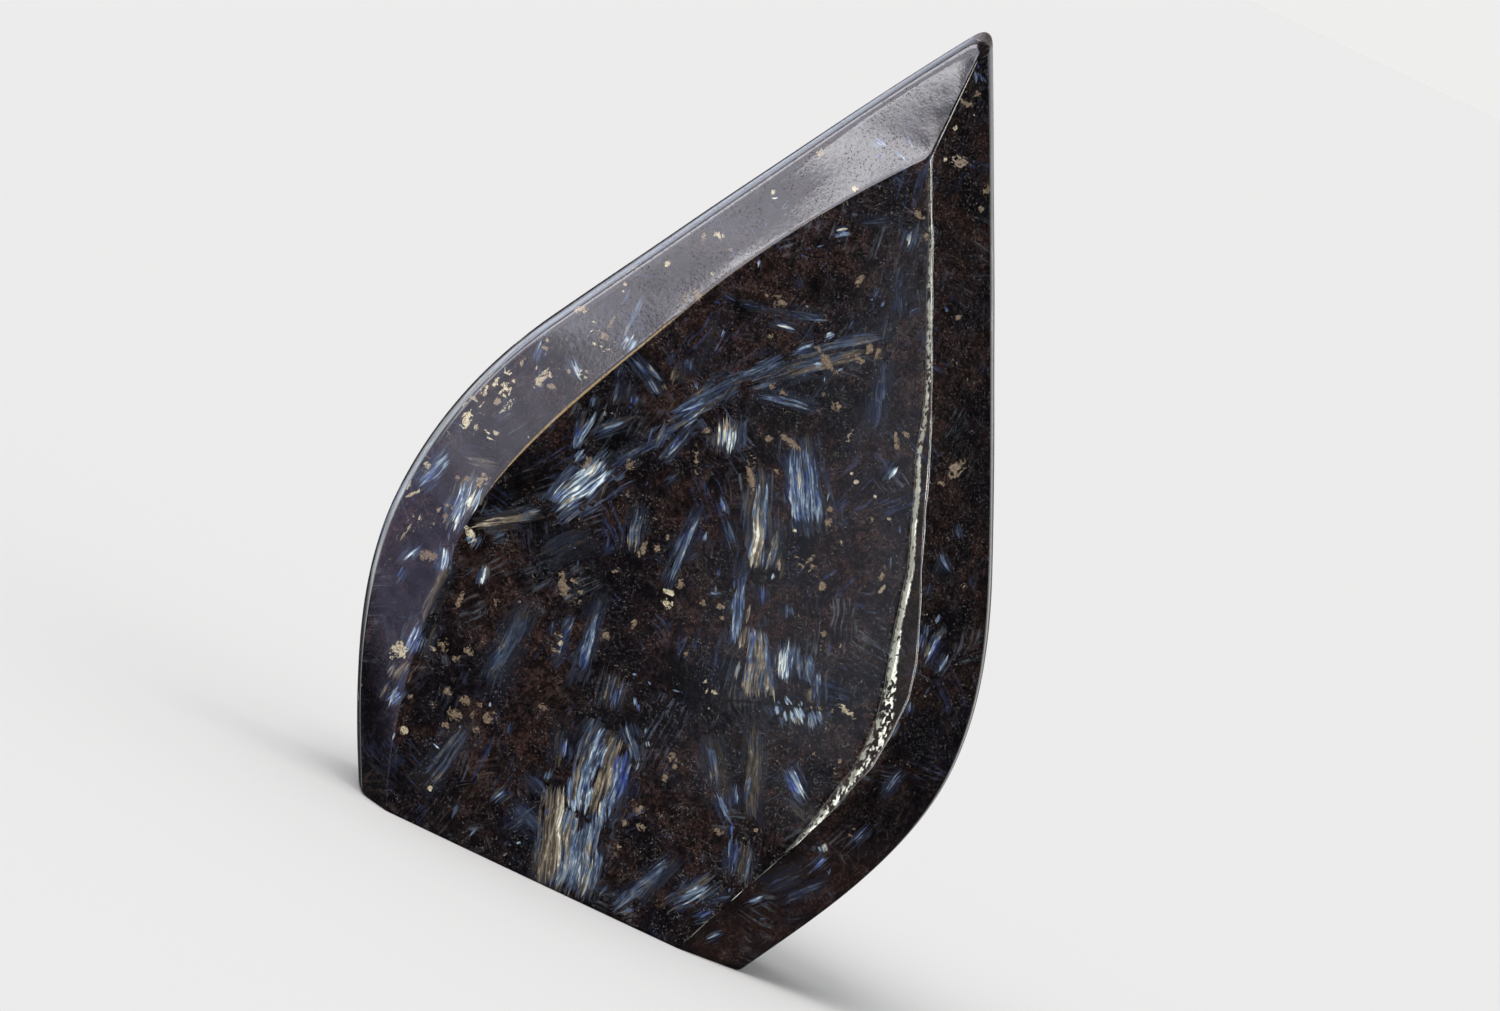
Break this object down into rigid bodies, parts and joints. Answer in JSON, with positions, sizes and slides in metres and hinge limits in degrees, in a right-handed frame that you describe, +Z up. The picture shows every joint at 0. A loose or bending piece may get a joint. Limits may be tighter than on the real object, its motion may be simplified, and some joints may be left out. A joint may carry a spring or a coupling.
{
  "type": "polished astrophyllite flame",
  "caption": "Free-standing polished stone flame: a pointed leaf outline, bevelled front and back, and a flat cut base to stand on.",
  "frame": {"origin": "middle of the flat cut base that the stone stands on", "axes": "+Z up from the base towards the tip, +X to the right seen from the front, -Y out of the front face"},
  "size_m": [0.0622, 0.0276, 0.0952],
  "materials": {
    "polished_stone": "polished"
  },
  "bodies": {
    "root": {"flame": "polished_stone"}
  },
  "joints": []
}
